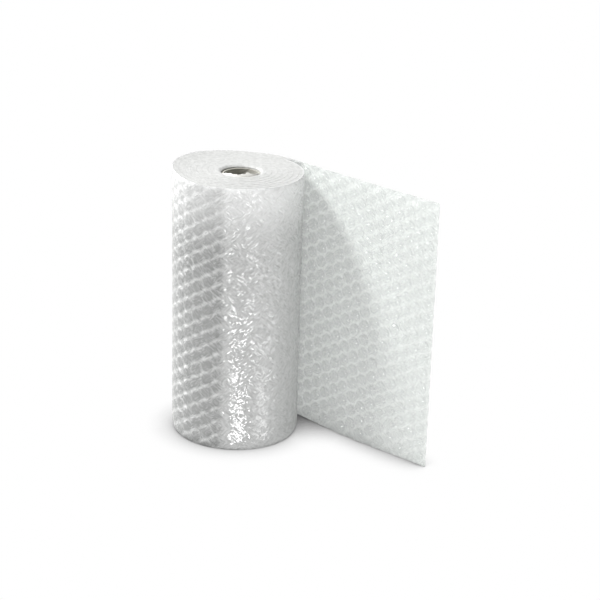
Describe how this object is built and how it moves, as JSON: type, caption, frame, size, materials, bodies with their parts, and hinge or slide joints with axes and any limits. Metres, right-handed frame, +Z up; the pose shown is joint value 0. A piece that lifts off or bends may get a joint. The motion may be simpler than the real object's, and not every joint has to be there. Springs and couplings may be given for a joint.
{
  "type": "air bubble film roll",
  "caption": "Standing roll of clear air bubble cushioning film on a paperboard core tube, with its free end drawn off as a flat bubbled flap.",
  "frame": {"origin": "on the core tube's axis, at the floor that the roll stands on", "axes": "+Z up along the core's axis, +X along the free flap, which leaves the roll at its +Y side"},
  "size_m": [0.582, 0.2901, 0.6],
  "materials": {
    "film": "clear polyethylene film, milky where many layers lie together",
    "paperboard": "matt grey board, spirally wound"
  },
  "bodies": {
    "root": {"core_tube": "paperboard", "bubble_film": "film"}
  },
  "joints": []
}
